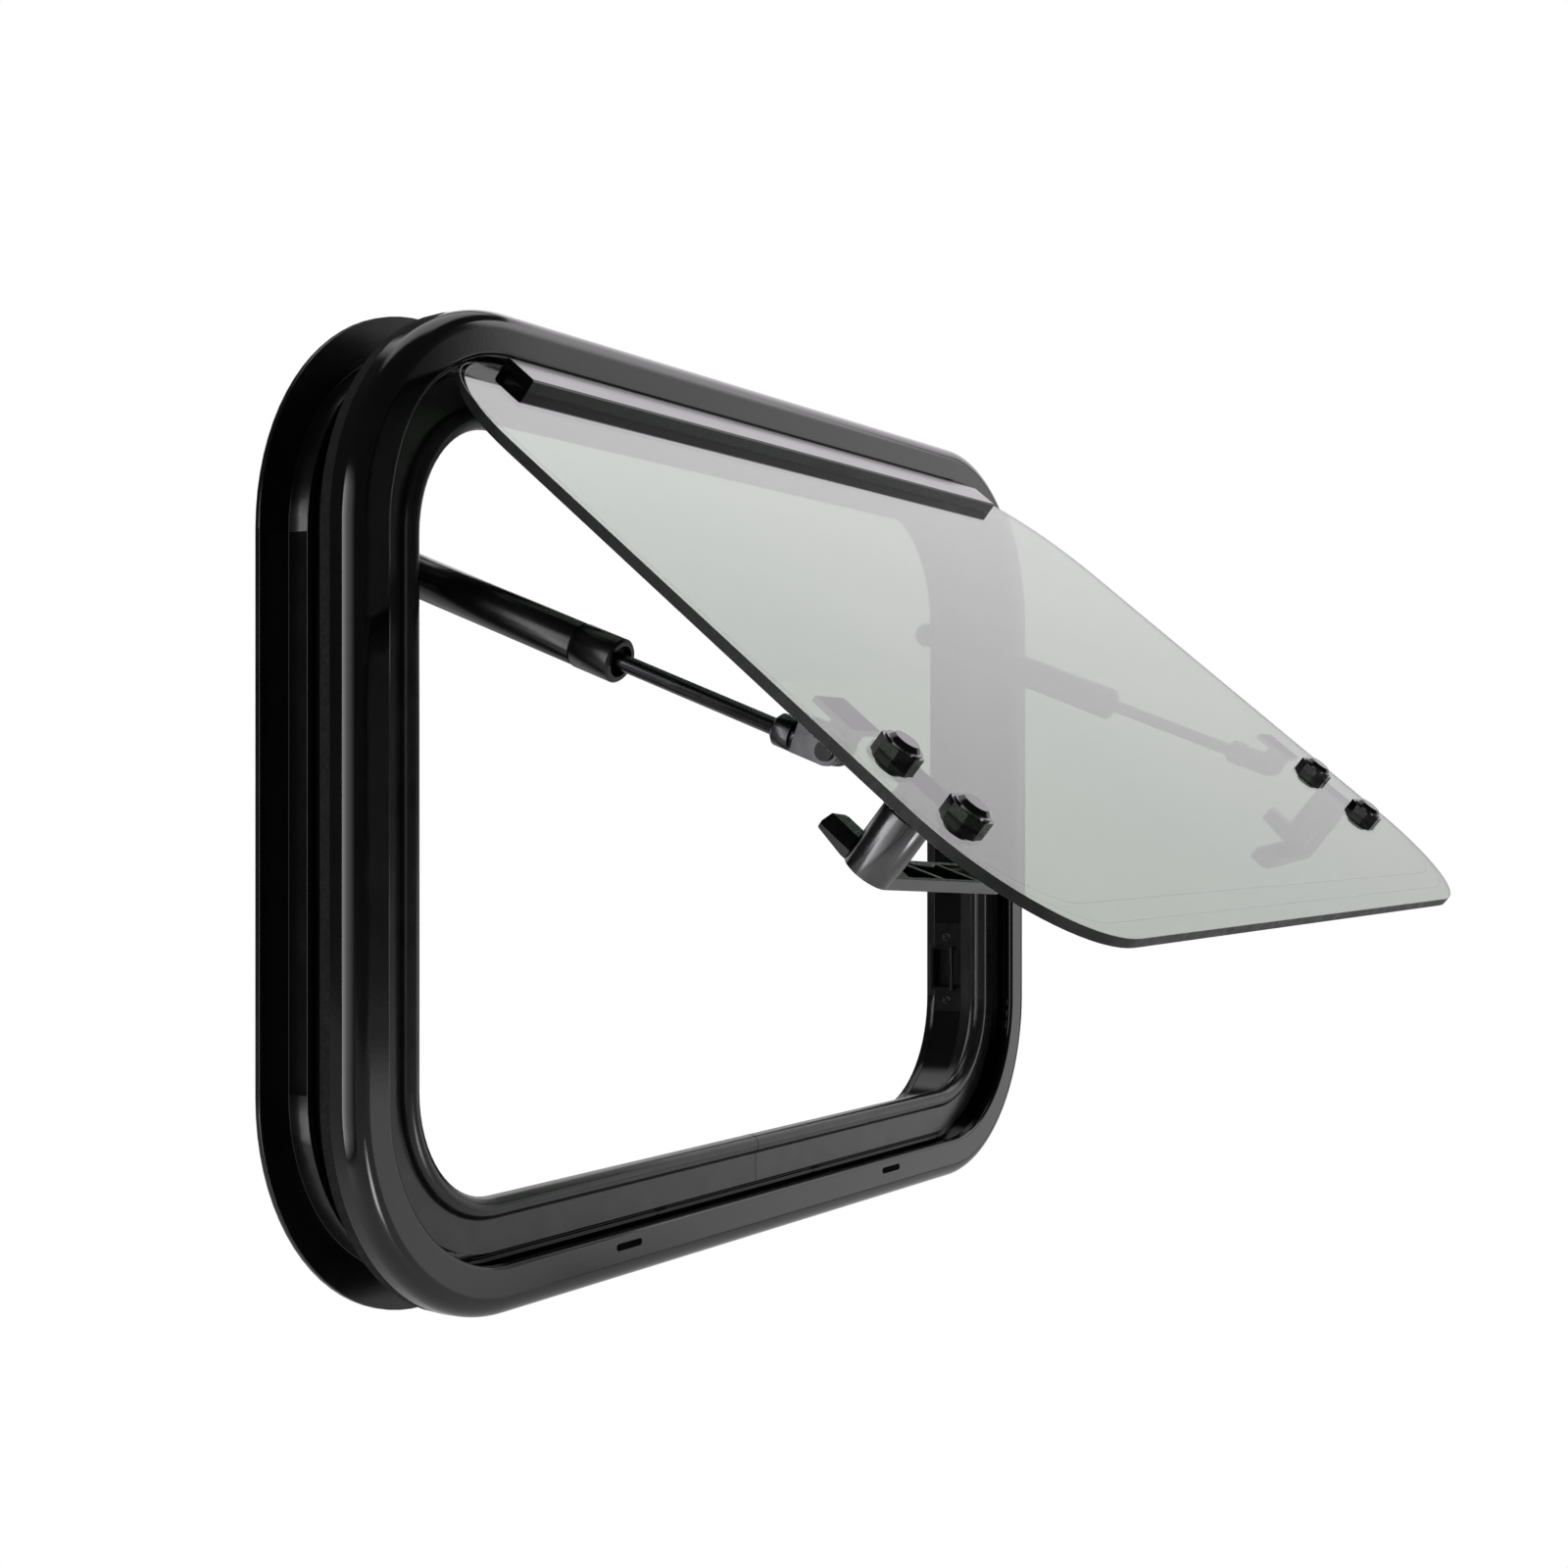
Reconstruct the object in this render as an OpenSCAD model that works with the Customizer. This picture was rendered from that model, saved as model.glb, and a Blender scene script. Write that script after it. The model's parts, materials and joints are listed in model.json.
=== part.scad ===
// Caravan window: a rounded aluminium outer frame clamped through a wall by an
// inner ring, with a top-hung tinted pane on two telescopic stays and two
// quarter-turn latches. Millimetres. X right, Z up, outside towards -Y.
// The wall's outer skin lies on Y = 0, and the pane stands open on its stays.

/* [Outer frame] */
// overall width over the moulding
frame_w = 640; // [480:1:900]
// overall height over the moulding
frame_h = 436; // [360:1:620]
// corner radius of the outer edge
corner_r = 102; // [80:1:140]
// width of the moulding's face, from the outer edge to its inner lip
face_w = 22; // [17:0.5:28]
// how far the moulding's crown stands out of the flange's back
face_rise = 13.5; // [10:0.5:18]
// height of the moulding's upright outer side
side_rise = 5; // [3:0.5:7]
// how far the inner lip overhangs its undercut
lip_hang = 4; // [2:0.5:6]
// thickness of the web behind the moulding and the seal
web_t = 2.5; // [1.5:0.1:3]
// depth of the groove between the lip and the seal, behind the flange's back
groove_d = 2.8; // [2.8:0.1:4]
// width of that groove
groove_w = 4.2; // [4:0.1:5]
// distance of the left drain slot from the left outer edge
drain_left_in = 192; // [120:1:240]
// distance of the right drain slot from the right outer edge
drain_right_in = 185; // [120:1:240]
// length of a drain slot
drain_len = 24; // [12:1:40]

/* [Wall and neck] */
// thickness of the caravan wall between gasket and clamp ring
wall_t = 30.5; // [22:0.5:50]
// thickness of the foam gasket
gasket_t = 5.5; // [2:0.5:6]
// width of the gasket strip
gasket_w = 16.5; // [10:0.5:16.5]
// distance of the neck's outer face from the outer edge
neck_in = 20; // [19:0.5:26]
// thickness of the neck's two walls
neck_t = 2.2; // [1.5:0.1:3]
// distance of the inner wall's visible face from the outer edge
reveal_in = 37; // [34:0.5:42]
// radius of the screw posts inside the neck
post_r = 6.5; // [6.4:0.1:8]

/* [Clamp ring] */
// thickness of the clamp ring's flange
ring_t = 2.6; // [2:0.1:4]
// thickness of the clamp ring's collar
collar_t = 3; // [2:0.1:4]
// depth of the collar that grips the wall's edge
collar_depth = 10.4; // [6:0.1:14]
// gap between the collar and the neck
collar_gap = 1.6; // [0.5:0.1:3]
// how far the clamp ring reaches past the frame's outer edge
ring_over = 1.5; // [0:0.1:4]

/* [Seal] */
// radius of the rubber bulb
bulb_r = 5.2; // [4:0.1:8]
// distance of the bulb's centre from the outer edge
bulb_in = 45.8; // [42:0.1:50]
// distance of the bulb's centre in front of the flange's back
bulb_p = 1.4; // [0:0.1:1.8]
// thickness of the seal's flat wing
wing_t = 2; // [1:0.1:2]
// depth of the seal's leg down the reveal
leg_depth = 13.6; // [8:0.1:13.6]
// thickness of the seal's leg
leg_t = 2.4; // [1.5:0.1:4]

/* [Hinge] */
// distance of the hinge axis below the moulding's lip
hinge_gap = 6.6; // [6.6:0.1:12]
// distance of the hinge axis in front of the flange's back
hinge_p = 0.5; // [0:0.1:2]
// radius of the rail's bead
bead_r = 3.9; // [3:0.1:5]
// running gap between bead and channel
bead_gap = 0.3; // [0.1:0.05:0.5]
// wall of the hinge channel
channel_t = 1.4; // [1:0.1:2]
// distance of the bead's ends from the frame's side edges
rail_in = 108; // [108:1:190]
// distance of the cover's ends from the frame's side edges
cover_in = 90.5; // [90:0.5:180]
// distance of the cover's lower edge below the hinge axis
cover_s = 29; // [24:0.5:34]
// thickness of the cover
cover_t = 6; // [4:0.1:7]

/* [Pane] */
// angle at which the pane stands open
open_angle = 50.5; // [0:0.5:60]
// gap between the pane's sides and the moulding's lip when the pane is shut
side_gap = 5; // [3:0.1:8]
// gap between the pane's lower edge and the moulding's lip when the pane is shut
low_gap = 1.4; // [1.2:0.1:4]
// thickness of the pane
pane_t = 4.5; // [3:0.5:6]
// corner radius of the pane
pane_r = 75; // [75:1:100]
// distance of the pane's top edge below the hinge axis
pane_s = 6; // [6:0.5:8]
// distance of the pane's inner face in front of the hinge axis
pane_e = 6.7; // [5:0.1:8]

/* [Stays] */
// distance of each stay from the frame's side edge
stay_in = 65; // [58:0.5:170]
// depth of the stay's frame pivot behind the flange's back
stay_y = 24; // [18:0.5:28]
// distance of the stay's frame pivot below the frame's top edge
stay_top = 111; // [93:0.5:158]
// distance of the stay's pane pivot above the latch
foot_up = 40.5; // [38:0.5:70]
// depth of the stay's pane pivot behind the pane
stay_d = 11.9; // [9.2:0.1:16]
// radius of the stay's tube
tube_r = 9; // [6:0.5:9]
// length of the tube from its frame pivot to its mouth
tube_len = 128.5; // [110:0.5:132]
// length of the collar at the tube's mouth
mouth_len = 20; // [12:0.5:24]
// radius of the rod
rod_r = 3.5; // [3:0.1:4.5]
// length of the rod from the pane pivot to its piston
rod_len = 152; // [135:1:156]
// radius of the socket and fork that hold the rod's end
socket_r = 6.6; // [6:0.1:8]
// length from the pane pivot to the socket's end
socket_len = 26; // [25:0.5:36]
// width of the fork
fork_w = 11; // [10:0.5:13]
// thickness of the foot's lug inside the fork
lug_t = 4.6; // [3:0.1:5]
// radius of the pivot pins
pin_r = 2.5; // [2:0.1:3]

/* [Latches] */
// distance of each latch from the frame's side edge
latch_in = 66; // [64:0.5:170]
// distance of the latch above the pane's lower edge
latch_up = 89.5; // [84:0.5:104]
// distance between a latch's two bolts
bolt_pitch = 37; // [30:0.5:40]
// radius of a bolt's eight-sided washer
washer_r = 9.8; // [8:0.1:13]
// thickness of that washer
washer_t = 4; // [2:0.1:5]
// radius of the latch's barrel
barrel_r = 10.5; // [9:0.5:13]
// depth of the latch behind the pane
latch_depth = 38; // [34:0.5:42]
// reach of the handle's grip from the barrel's axis
grip_len = 92; // [50:1:96]
// width of the grip
grip_w = 12; // [8:0.5:14]
// thickness of the grip
grip_t = 5.6; // [4:0.1:8]
// how far the grip's tip lies below its root
grip_drop = 7; // [0:0.5:12]
// thickness of the grip's walls and ribs
grip_wall = 1.5; // [1:0.1:2]
// reach of the tongue from the barrel's axis
tongue_len = 25.2; // [24.5:0.1:26.5]
// width of the tongue
tongue_w = 14; // [8:0.5:14]
// thickness of the tongue
tongue_t = 8.8; // [6:0.1:9.6]
// chamfer along the tongue's leading edge
tongue_cut = 4; // [2:0.1:4]

/* [Keepers] */
// distance of the keeper's middle above the frame's lower edge
keeper_up = 119.5; // [108:0.5:138]
// height of the keeper's pocket
pocket_h = 27; // [24:1:34]
// height of each screw plate beside the pocket
plate_h = 15; // [10:0.5:20]
// thickness of the keeper's plates
plate_t = 1.5; // [1:0.1:2.5]
// distance of the plates from the pocket's back and front ends
plate_in = 4; // [3.8:0.1:6]
// wall of the keeper's pocket
cup_t = 1.6; // [1:0.1:2]
// distance of the keeper's bar in front of the pocket's middle
bar_up = 3.6; // [3.5:0.1:5]
// radius of the keeper's bar
bar_r = 1.3; // [1:0.1:2]
// gap between the bar and the plane of the plates
bar_off = 0.8; // [0:0.1:1]

/* [Hidden] */
$fn = 64;
eps = 0.02;
seat = 0.3;
run = 0.4;
wall_back = gasket_t + wall_t;
ring_back = wall_back + ring_t;
neck_short = 3;
neck_depth = wall_back - neck_short;
wing_in = face_w + groove_w;
hinge_in = face_w + hinge_gap;
mouth_top = hinge_gap - 0.1;
hinge_z = frame_h / 2 - hinge_in;
hinge_y = -(gasket_t + hinge_p);
channel_in = bead_r + bead_gap;
channel_r = channel_in + channel_t;
pane_out = pane_e + pane_t;
pocket_y = 23;
pocket_w = 26;
round_r = face_rise - side_rise;
crown_r = 50;
lip_r = 1.8;
lip_y = face_rise - 1.5 - lip_r;
rail_len = frame_w - 2 * rail_in;
cover_len = frame_w - 2 * cover_in;
pane_w = frame_w - 2 * (face_w + side_gap);
pane_h = frame_h - hinge_in - pane_s - face_w - low_gap;
latch_x = frame_w / 2 - latch_in;
latch_s = pane_s + pane_h - latch_up;
stay_x = frame_w / 2 - stay_in;
stay_z = frame_h / 2 - stay_top;
stay_s = latch_s - foot_up;
keeper_z = frame_h / 2 - keeper_up;

// the stay's pivots in the Y-Z plane, row frame
fy = stay_y - gasket_t;
fz = stay_z;
py = hinge_y - stay_s * sin(open_angle) - (pane_e - stay_d) * cos(open_angle);
pz = hinge_z - stay_s * cos(open_angle) + (pane_e - stay_d) * sin(open_angle);
stay_l = sqrt((py - fy) * (py - fy) + (pz - fz) * (pz - fz));
stay_a = atan2(fy - py, pz - fz);

// stands a plan up: plan X, Y, height become X, Z, outward from the flange's back
module stand() {
    rotate([90, 0, 0])
        translate([0, 0, gasket_t])
            children();
}

// carries pieces drawn in the pane's own plan: X, up the pane, outward
module on_sash() {
    translate([0, hinge_y, hinge_z])
        rotate([90 - open_angle, 0, 0])
            children();
}

// carries pieces drawn along a stay: Z runs from the frame pivot to the pane
module on_stay(x) {
    translate([x, fy, fz])
        rotate([stay_a, 0, 0])
            children();
}

// sweeps a profile round the frame; its X is minus the distance from the outer edge
module sweep_ring() {
    w = frame_w / 2 - corner_r;
    h = frame_h / 2 - corner_r;
    for (k = [[w, h, 0], [-w, h, 90], [-w, -h, 180], [w, -h, 270]])
        translate([k[0], k[1], 0])
            rotate([0, 0, k[2]])
                rotate_extrude(angle = 90, $fn = 96)
                    translate([corner_r, 0])
                        children();
    for (k = [[frame_w / 2, h, 0], [frame_h / 2, w, 90], [frame_w / 2, h, 180], [frame_h / 2, w, 270]])
        rotate([0, 0, k[2]])
            translate([k[0], k[1], 0])
                rotate([90, 0, 0])
                    linear_extrude(2 * k[1])
                        children();
}

// a box in profile coordinates, from distance a to b and from height c to d
module band(a, b, c, d) {
    translate([-b, c])
        square([b - a, d - c]);
}

module rounded_plate(w, h, r, t) {
    linear_extrude(t)
        rounded_2d(w, h, r);
}

module rounded_2d(w, h, r) {
    square([w - 2 * r, h], center = true);
    square([w, h - 2 * r], center = true);
    for (x = [-1, 1], y = [-1, 1])
        translate([x * (w / 2 - r), y * (h / 2 - r)])
            circle(r);
}

module moulding_profile() {
    difference() {
        intersection() {
            union() {
                band(0, round_r, 0, side_rise);
                translate([-round_r, side_rise])
                    circle(round_r);
                band(round_r, face_w - lip_r, 0, face_rise);
                translate([-(face_w - lip_r), lip_y])
                    circle(lip_r);
                band(face_w - lip_r - eps, face_w, lip_y - lip_r, lip_y);
            }
            band(0, face_w, 0, face_rise);
            translate([-face_w / 2, face_rise - crown_r])
                circle(crown_r, $fn = 180);
        }
        band(face_w - lip_hang, face_w + 1, -1, lip_y - lip_r);
    }
}

module frame_profile() {
    moulding_profile();
    band(face_w - lip_hang - eps, face_w + eps, -web_t, 0);
    band(neck_in, wing_in + web_t, -groove_d - web_t, -groove_d);
    band(wing_in, reveal_in, -groove_d, 0);
    band(neck_in, neck_in + neck_t, -neck_depth, -web_t + eps);
    band(reveal_in - neck_t, reveal_in, -neck_depth, -web_t + eps);
    for (q = [face_w + 1.2, face_w + 3])
        band(q, q + 0.6, -groove_d - eps, -groove_d + 0.6);
}

module clamp_posts() {
    q = (neck_in + reveal_in) / 2;
    w = frame_w / 2 - q;
    h = frame_h / 2 - q;
    for (x = [-0.36, -0.12, 0.12, 0.36], y = [-1, 1])
        translate([x * frame_w, y * h, -neck_depth])
            cylinder(r = post_r, h = neck_depth - web_t + eps);
    for (x = [-1, 1], y = [-0.08, 0.18])
        translate([x * w, y * frame_h, -neck_depth])
            cylinder(r = post_r, h = neck_depth - web_t + eps);
}

module channel_mouth() {
    back = groove_d + hinge_p;
    polygon([[0, 0], [-14, 4], [-14, mouth_top], [back, mouth_top], [back, 3.2]]);
}

module outer_frame() {
    color("#202124")
    stand()
        difference() {
            union() {
                sweep_ring() frame_profile();
                clamp_posts();
                translate([0, frame_h / 2 - hinge_in, hinge_p])
                    rotate([0, 90, 0])
                        cylinder(r = channel_r, h = rail_len + 6, center = true);
            }
            translate([0, frame_h / 2 - hinge_in, hinge_p])
                rotate([0, 90, 0])
                    cylinder(r = channel_in, h = rail_len + 6 + eps, center = true);
            translate([-rail_len / 2 - 3 - eps, frame_h / 2 - hinge_in, hinge_p])
                rotate([0, 90, 0])
                    linear_extrude(rail_len + 6 + 2 * eps)
                        channel_mouth();
            keeper_cuts(0);
            drain_cuts();
        }
}

// the drain slots in the lower moulding
module drain_cuts() {
    for (x = [drain_left_in - frame_w / 2, frame_w / 2 - drain_right_in])
        translate([x, -frame_h / 2 + face_w - 2.4, 6])
            linear_extrude(face_rise)
                rounded_2d(drain_len, 2.6, 1.2);
}

// the keepers' pockets through the reveal
module keeper_cuts(grow) {
    for (s = [-1, 1])
        translate([s * (frame_w / 2 - reveal_in + 5), -keeper_z, -pocket_y])
            cube([12 + 2 * grow, pocket_h + 2 * grow, pocket_w + 2 * grow], center = true);
}

module wall_gasket() {
    color("#3a3a3a")
    stand()
        sweep_ring() band(0.4, gasket_w, -gasket_t, 0);
}

module clamp_ring() {
    color("#18191b")
    stand()
        difference() {
            sweep_ring() ring_profile();
            keeper_cuts(0);
        }
}

module ring_profile() {
    c = neck_in - collar_gap;
    band(-ring_over, reveal_in, -ring_back, -wall_back);
    band(c - collar_t, c, -wall_back - eps, -wall_back + collar_depth);
    band(reveal_in - neck_t, reveal_in, -wall_back - eps, -neck_depth);
}

module seal_profile() {
    band(wing_in, bulb_in, 0, wing_t);
    translate([-bulb_in, bulb_p])
        circle(bulb_r);
    band(reveal_in, reveal_in + leg_t, -leg_depth, 1);
}

module window_seal() {
    color("#6f7371")
    stand()
        difference() {
            sweep_ring() seal_profile();
            translate([0, frame_h / 2 - hinge_in, hinge_p])
                rotate([0, 90, 0])
                    cylinder(r = channel_r + seat, h = rail_len + 8, center = true);
            translate([-rail_len / 2 - 4, frame_h / 2 - hinge_in - 1, -1])
                cube([rail_len + 8, 10, 12]);
            keeper_cuts(0.5);
        }
}

module keeper(s) {
    x = frame_w / 2 - reveal_in;
    color("#2a2b2e")
    stand()
        translate([s * x, -keeper_z, -pocket_y])
            mirror([s < 0 ? 1 : 0, 0, 0])
                keeper_body();
}

// X points out of the opening, Z outwards
module keeper_body() {
    gap = 0.1;
    back = -pocket_w / 2;
    plate_w = pocket_w - 2 * plate_in;
    difference() {
        translate([seat, -pocket_h / 2 + gap, back + gap])
            cube([10, pocket_h - 2 * gap, pocket_w - 2 * gap]);
        translate([-1, -pocket_h / 2 + cup_t, back + cup_t])
            cube([9.5, pocket_h - 2 * cup_t, pocket_w - 2 * cup_t]);
    }
    intersection() {
        union() {
            translate([-plate_t, pocket_h / 2 - cup_t, back + plate_in])
                cube([plate_t, plate_h + cup_t, plate_w]);
            translate([-plate_t, -pocket_h / 2 + cup_t - plate_h, back + plate_in])
                cube([plate_t, plate_h, plate_w]);
        }
        corner_clear();
    }
    for (y = [pocket_h / 2 - cup_t, -pocket_h / 2 + gap])
        translate([-plate_t, y, back + plate_in])
            cube([plate_t + seat + eps, cup_t - gap, plate_w]);
    translate([-plate_t - bar_r - bar_off, 0, bar_up]) {
        rotate([90, 0, 0])
            cylinder(r = bar_r, h = pocket_h, center = true);
        for (y = [-1, 1])
            translate([(bar_r + bar_off) / 2, y * (pocket_h - cup_t) / 2, 0])
                cube([bar_r + bar_off + 0.4, cup_t, 2 * bar_r], center = true);
    }
}

// the open space beside the reveal, which curves in below the keeper
module corner_clear() {
    r = corner_r - reveal_in - 0.1;
    y = keeper_z - (frame_h / 2 - corner_r);
    translate([-r, y, -pocket_w])
        cube([r, 2 * pocket_h, 2 * pocket_w]);
    translate([-r - 0.1, y, -pocket_w])
        cylinder(r = r, h = 2 * pocket_w, $fn = 96);
}

module stay_bracket(s) {
    x = frame_w / 2 - reveal_in;
    color("#1c1d1f")
    translate([s * x, fy, fz])
        mirror([s < 0 ? 1 : 0, 0, 0]) {
            translate([-3, -7, -9])
                cube([3, 14, 18]);
            translate([-(x - stay_x) + 7 + run, 0, 0])
                rotate([0, 90, 0])
                    cylinder(r = 5, h = x - stay_x - 7 - run - 3 + eps);
        }
}

module glass_pane() {
    color("#7a6f78", 0.5)
    on_sash()
        translate([0, -pane_s - pane_h / 2, pane_e])
            rounded_plate(pane_w, pane_h, pane_r, pane_t);
}

module hinge_rail() {
    color("#1e1f21")
    on_sash() {
        along_x(rail_len) {
            circle(bead_r);
            neck_profile();
        }
        along_x(cover_len)
            cover_profile();
    }
}

// draws a profile along X; its X is up the pane and its Y outward
module along_x(l) {
    translate([-l / 2, 0, 0])
        rotate([90, 0, 90])
            linear_extrude(l)
                children();
}

// from the bead, out of the channel and over the pane's top edge
module neck_profile() {
    edge = -pane_s + 0.1;
    polygon([[1.2, 3.2], [3.6, 1.4], [4.6, 3.9], [3.8, 5.6], [2.2, 7.7], [-0.4, 9.1], [-3.2, 9.7],
        [edge + 1.4, pane_out - 0.5], [edge + 0.7, pane_out + 0.8], [edge - 1.6, pane_out + 3.6],
        [-12, pane_out + cover_t - 0.5], [-14, pane_out + 2], [-14, pane_out],
        [edge, pane_out], [edge, 8.2], [-1.4, 7.5], [1, 6.4], [2.1, 4.9]]);
}

module cover_profile() {
    translate([-12.5, pane_out + cover_t - 1.5])
        circle(1.5);
    polygon([[-11, pane_out], [-11, pane_out + cover_t - 1.5], [-12.5, pane_out + cover_t],
        [-cover_s + 0.8, pane_out + cover_t], [-cover_s, pane_out + cover_t - 0.8], [-cover_s, pane_out]]);
}

module latch_base(s) {
    color("#1c1d1f")
    on_sash()
        translate([s * latch_x, -latch_s, pane_e])
            rotate([180, 0, 0]) {
                rounded_plate(20, bolt_pitch + 20, 8, 4);
                cylinder(r = barrel_r - 0.5, h = 10);
                cylinder(r = 4, h = 24);
            }
}

module latch_bolts(s) {
    color("#141414")
    on_sash()
        for (y = [-1, 1])
            translate([s * latch_x, -latch_s + y * bolt_pitch / 2, pane_out]) {
                rotate([0, 0, 22.5])
                    cylinder(r = washer_r, h = washer_t, $fn = 8);
                cylinder(r = washer_r - 1.6, h = washer_t + 1);
                translate([0, 0, washer_t + 1 - eps])
                    cylinder(r1 = washer_r - 2.6, r2 = washer_r - 4.4, h = 2);
            }
}

// carries a latch's turning pieces: X towards the jamb, Y down the pane, Z inwards
module on_latch(s) {
    on_sash()
        translate([s * latch_x, -latch_s, pane_e])
            mirror([s > 0 ? 0 : 1, 0, 0])
                rotate([180, 0, 0])
                    children();
}

// how far the grip has dropped at a distance x from the barrel's axis
function drop(x) = grip_drop * x / grip_len;

module grip_plan(wall, root) {
    low = barrel_r - wall;
    high = barrel_r - grip_w + wall;
    r = grip_w / 2 - wall;
    tip = grip_len - grip_w / 2;
    polygon([[-root, high + drop(root)], [-root, low + drop(root)],
        [-tip, low + drop(tip)], [-tip, high + drop(tip)]]);
    translate([-tip, (low + high) / 2 + drop(tip)])
        circle(r);
}

module latch_handle(s) {
    d0 = 10 + run;
    color("#3c3d40")
    on_latch(s)
        difference() {
            union() {
                translate([0, 0, d0])
                    cylinder(r = barrel_r, h = latch_depth - d0);
                translate([0, 0, latch_depth - grip_t])
                    linear_extrude(grip_t)
                        grip_plan(0, 0);
            }
            cylinder(r = 4.1, h = 25);
            translate([0, 0, latch_depth - grip_t - 1])
                linear_extrude(grip_t + 1 - grip_wall)
                    difference() {
                        grip_plan(grip_wall, barrel_r + 2);
                        grip_ribs();
                    }
        }
}

// the two slanted ribs in the grip's hollow
module grip_ribs() {
    for (x = [28, 56])
        translate([-x, barrel_r - grip_w / 2 + drop(x)])
            rotate([0, 0, -28])
                square([2 * grip_w, grip_wall], center = true);
}

module latch_tongue(s) {
    top = latch_depth - tongue_t;
    w = tongue_w / 2;
    color("#161618")
    on_latch(s)
        difference() {
            intersection() {
                translate([0, 0, top])
                    linear_extrude(tongue_t)
                        polygon([[-w, 0], [w, 0], [w, 1 - tongue_len], [w - 1, -tongue_len],
                            [1.5 - w, 1.5 - tongue_len], [-w, 3 - tongue_len]]);
                rotate([90, 0, 0])
                    linear_extrude(tongue_len)
                        polygon([[-w, latch_depth], [w, latch_depth], [w, top + tongue_cut + 1],
                            [w - tongue_cut, top], [-w, top]]);
                rotate([90, 0, -90])
                    linear_extrude(tongue_w, center = true)
                        polygon([[0, top], [tongue_len, top], [tongue_len, latch_depth - 2],
                            [barrel_r, latch_depth], [0, latch_depth]]);
            }
            translate([0, 0, top - 1])
                cylinder(r = barrel_r + 0.05, h = tongue_t + 2);
        }
}

module stay_foot(s) {
    side = fork_w / 2 + seat;
    color("#1c1d1f")
    on_sash()
        translate([s * stay_x, -stay_s, pane_e])
            rotate([180, 0, 0]) {
                translate([-11, -14, 0])
                    cube([22, 21, 2.6]);
                translate([-lug_t / 2, -7, 2])
                    cube([lug_t, 13, stay_d - 2 - pin_r]);
                translate([0, 0, stay_d])
                    rotate([0, 90, 0]) {
                        cylinder(r = 5.5, h = lug_t, center = true);
                        cylinder(r = pin_r, h = 2 * side + eps, center = true);
                        for (z = [side, -side - 1])
                            translate([0, 0, z])
                                cylinder(r = 4, h = 1);
                    }
            }
}

module stay_rod(s) {
    half = socket_r - 0.8;
    fork_len = 15;
    slot_w = lug_t + 2 * run;
    color("#26272a")
    on_stay(s * stay_x)
        difference() {
            union() {
                translate([0, 0, stay_l])
                    rotate([0, 90, 0])
                        cylinder(r = half, h = fork_w, center = true);
                translate([-fork_w / 2, -half, stay_l - fork_len])
                    cube([fork_w, 2 * half, fork_len]);
                translate([0, 0, stay_l - fork_len - 2])
                    cylinder(r = socket_r - 2, h = 2 + eps);
                translate([0, 0, stay_l - socket_len + 1.5])
                    cylinder(r = socket_r, h = socket_len - fork_len - 3.5);
                translate([0, 0, stay_l - socket_len])
                    cylinder(r1 = socket_r - 1.5, r2 = socket_r, h = 1.5);
                translate([0, 0, stay_l - rod_len])
                    cylinder(r = rod_r, h = rod_len - fork_len);
                translate([0, 0, stay_l - rod_len])
                    cylinder(r = tube_r - 1.8, h = 8);
            }
            translate([-slot_w / 2, -half - 1, stay_l - 9])
                cube([slot_w, 2 * half + 2, 9 + socket_r]);
            translate([0, 0, stay_l])
                rotate([0, 90, 0])
                    cylinder(r = pin_r + 0.06, h = fork_w + 2, center = true);
        }
}

module stay_tube(s) {
    bush = tube_len - 10;
    color("#202124")
    on_stay(s * stay_x)
        difference() {
            union() {
                rotate([0, 90, 0])
                    cylinder(r = 7, h = 14, center = true);
                translate([0, 0, 4])
                    cylinder(r = 7, h = 12);
                translate([0, 0, 12])
                    cylinder(r = tube_r, h = tube_len - mouth_len - 13);
                translate([0, 0, tube_len - mouth_len - 1 - eps])
                    cylinder(r = tube_r - 0.7, h = 1 + 2 * eps);
                translate([0, 0, tube_len - mouth_len])
                    cylinder(r = tube_r + 0.3, h = mouth_len - 1);
                translate([0, 0, tube_len - 1])
                    cylinder(r1 = tube_r + 0.3, r2 = tube_r - 0.6, h = 1);
            }
            translate([0, 0, 14])
                cylinder(r = tube_r - 1.6, h = bush - 14);
            translate([0, 0, bush - 1])
                cylinder(r = rod_r + 0.08, h = 12);
            translate([0, 0, tube_len - 4])
                cylinder(r = tube_r - 2.4, h = 5);
            rotate([0, 90, 0])
                cylinder(r = 3, h = 20, center = true);
        }
}

outer_frame();
wall_gasket();
clamp_ring();
window_seal();
keeper(-1);  // left_keeper
keeper(1);  // right_keeper
stay_bracket(-1);  // left_stay_bracket
stay_bracket(1);  // right_stay_bracket
glass_pane();
hinge_rail();
latch_base(-1);  // left_latch_base
latch_base(1);  // right_latch_base
latch_bolts(-1);  // left_latch_bolts
latch_bolts(1);  // right_latch_bolts
stay_foot(-1);  // left_stay_foot
stay_foot(1);  // right_stay_foot
stay_rod(-1);  // left_stay_rod
stay_rod(1);  // right_stay_rod
stay_tube(-1);  // left_stay_tube
stay_tube(1);  // right_stay_tube
latch_handle(-1);  // left_latch_handle
latch_handle(1);  // right_latch_handle
latch_tongue(-1);  // left_latch_tongue
latch_tongue(1);  // right_latch_tongue
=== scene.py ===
# %% [markdown]
# # A caravan window, dressed for its picture
#
# The object is a side window for a small caravan: a rounded black frame, a
# clamp ring that grips the wall from inside, a grey rubber seal, and a tinted
# acrylic pane that hangs from a hinge rail and stands open on two stays.
#
# The solids were made in a CAD program and are loaded here as a fixed frame.
# Blender's work is what the solids lack: finishes, light, rounded edges and
# the small things such as screws and seams. All lengths are metres. X runs to
# the right, Z up, and the outside of the caravan is towards -Y.

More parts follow.
